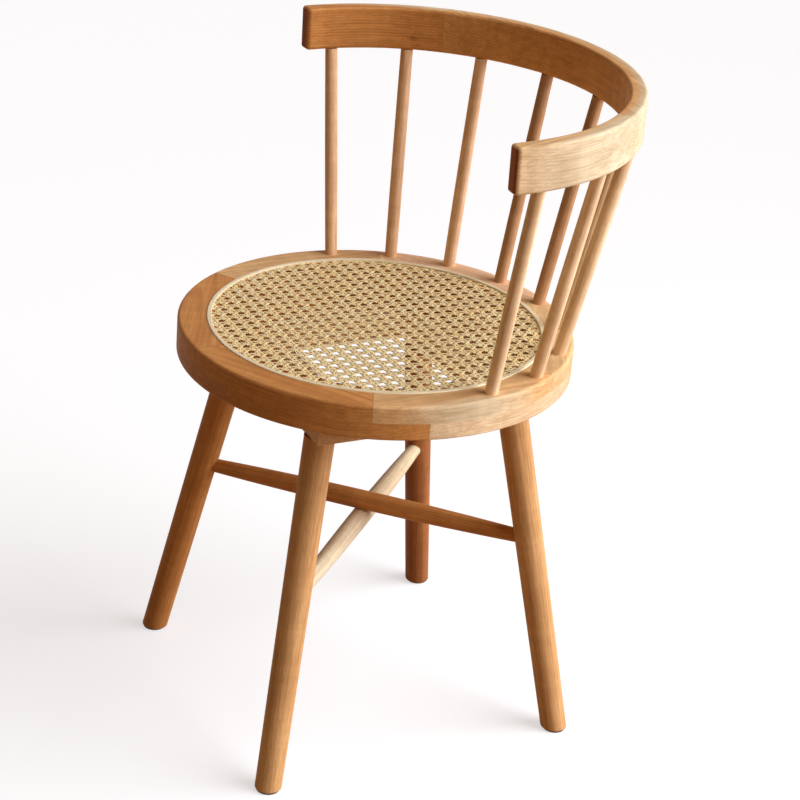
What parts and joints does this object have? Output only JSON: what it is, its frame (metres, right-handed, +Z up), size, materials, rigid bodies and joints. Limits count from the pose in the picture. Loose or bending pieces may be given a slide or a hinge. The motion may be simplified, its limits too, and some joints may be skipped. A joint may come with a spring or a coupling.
{
  "type": "spindle dining chair",
  "caption": "Round-seat wooden dining chair with a cane webbing seat, a horseshoe rail on turned spindles, splayed legs and crossed stretchers.",
  "frame": {"origin": "on the floor, under the middle of the chair's plan", "axes": "+Z up, -Y to the front, the way a sitter faces, +X to the sitter's left"},
  "size_m": [0.5084, 0.4745, 0.7368],
  "materials": {
    "wood": "oiled, satin",
    "cane": "natural cane webbing",
    "spline": "pale natural cane spline",
    "screw_steel": "zinc plated",
    "glide": "matte"
  },
  "bodies": {
    "root": {"seat_ring_upper_1": "wood", "seat_ring_upper_2": "wood", "seat_ring_upper_3": "wood", "seat_ring_upper_4": "wood", "seat_ring_upper_5": "wood", "seat_ring_upper_6": "wood", "seat_ring_lower_1": "wood", "seat_ring_lower_2": "wood", "seat_ring_lower_3": "wood", "seat_ring_lower_4": "wood", "seat_ring_lower_5": "wood", "seat_ring_lower_6": "wood", "cane_panel": "cane", "cane_spline": "spline", "spindle_1": "wood", "spindle_2": "wood", "spindle_3": "wood", "spindle_4": "wood", "spindle_5": "wood", "spindle_6": "wood", "spindle_7": "wood", "spindle_8": "wood", "spindle_9": "wood", "back_rail_centre": "wood", "back_rail_left_arm": "wood", "back_rail_right_arm": "wood", "rail_dowels": "wood", "frame_front_bar": "wood", "frame_rear_bar": "wood", "frame_left_bar": "wood", "frame_right_bar": "wood", "frame_screws": "screw_steel", "stretcher_upper": "wood", "stretcher_lower": "wood", "stretcher_screw": "screw_steel", "leg_front_left": "wood", "leg_rear_left": "wood", "leg_rear_right": "wood", "leg_front_right": "wood", "glide_front_left": "glide", "glide_rear_left": "glide", "glide_rear_right": "glide", "glide_front_right": "glide"}
  },
  "joints": []
}
